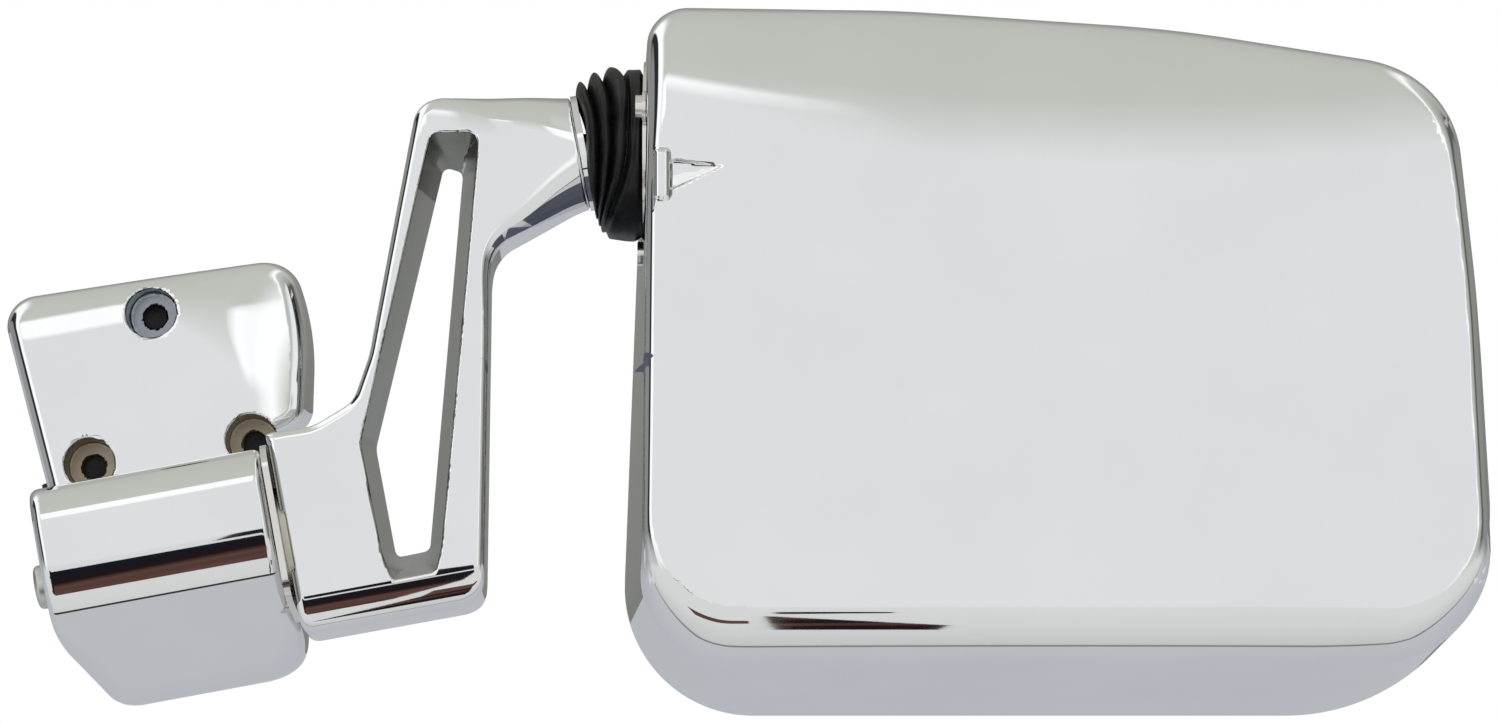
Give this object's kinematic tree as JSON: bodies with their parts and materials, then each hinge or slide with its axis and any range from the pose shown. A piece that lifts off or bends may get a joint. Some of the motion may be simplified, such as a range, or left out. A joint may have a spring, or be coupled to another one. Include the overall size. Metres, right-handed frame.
{
  "type": "car side mirror",
  "caption": "Fold-away side mirror for an off-road vehicle: chromed base with pivot boss, slotted arm, rubber-booted ball joint and rounded rectangular chrome head with a flat glass.",
  "frame": {"origin": "centre of the base's three-screw circle on the mounting face, the back of the base gasket", "axes": "+Y out of the back of the base into the body panel, so the part stands at negative Y; +X from the base towards the head; +Z across the head. The fold axis lies in the XZ plane, 10.5 degrees above +X, and stands upright on the vehicle"},
  "size_m": [0.3581, 0.065, 0.1642],
  "materials": {
    "chrome": "bright polished chrome plating",
    "bright_steel": "bright stamped steel",
    "zinc_steel": "zinc plated steel, satin",
    "spring_steel": "oiled spring wire",
    "nylon": "natural nylon",
    "black_rubber": "moulded black rubber, slight sheen",
    "black_plastic": "fine grained black plastic",
    "foam": "adhesive foam",
    "mirror": "silvered flat glass"
  },
  "bodies": {
    "base": {"mounting_base": "chrome", "base_gasket": "black_rubber", "pivot_head_washer": "zinc_steel", "pivot_bushing": "nylon", "spring_seat_washer": "zinc_steel", "pivot_spring": "spring_steel", "pressure_plate": "bright_steel", "pressure_plate_pins": "zinc_steel"},
    "arm": {"mirror_arm": "chrome", "pivot_bolt": "zinc_steel", "thrust_washer": "nylon", "ball_stud": "zinc_steel", "neck_collar": "chrome", "rubber_boot": "black_rubber"},
    "front_seat": {"ball_seat_front": "nylon"},
    "rear_seat": {"ball_seat_rear": "nylon"},
    "head": {"mirror_housing": "chrome", "glass_bezel": "black_plastic", "mirror_glass": "mirror", "glass_adhesive_pad": "foam", "glass_backing_plate": "black_plastic", "socket_clamp": "zinc_steel", "socket_cup": "zinc_steel", "clamp_springs": "spring_steel", "clamp_screws": "zinc_steel", "flange_gasket": "black_rubber", "flange_plate": "bright_steel", "flange_screws": "bright_steel", "socket_bracket": "zinc_steel", "bracket_screws": "zinc_steel"}
  },
  "joints": [
    {"name": "fold_pivot", "type": "hinge", "parent": "base", "child": "arm", "pos_m": [0.00711, -0.03, -0.03835], "axis": [0.9833, 0, 0.1822], "range_deg": [0, 160]},
    {"name": "head_pitch", "type": "hinge", "parent": "arm", "child": "front_seat", "pos_m": [0.131, -0.032, 0.058], "axis": [1, 0, 0], "range_deg": [-20, 20]},
    {"name": "head_pan", "type": "hinge", "parent": "front_seat", "child": "rear_seat", "pos_m": [0.131, -0.032, 0.058], "axis": [0, 0, 1], "range_deg": [-12, 12], "deforming": ["rubber_boot"]},
    {"name": "head_roll", "type": "hinge", "parent": "rear_seat", "child": "head", "pos_m": [0.131, -0.032, 0.058], "axis": [0, 1, 0], "range_deg": [-8, 8]}
  ]
}
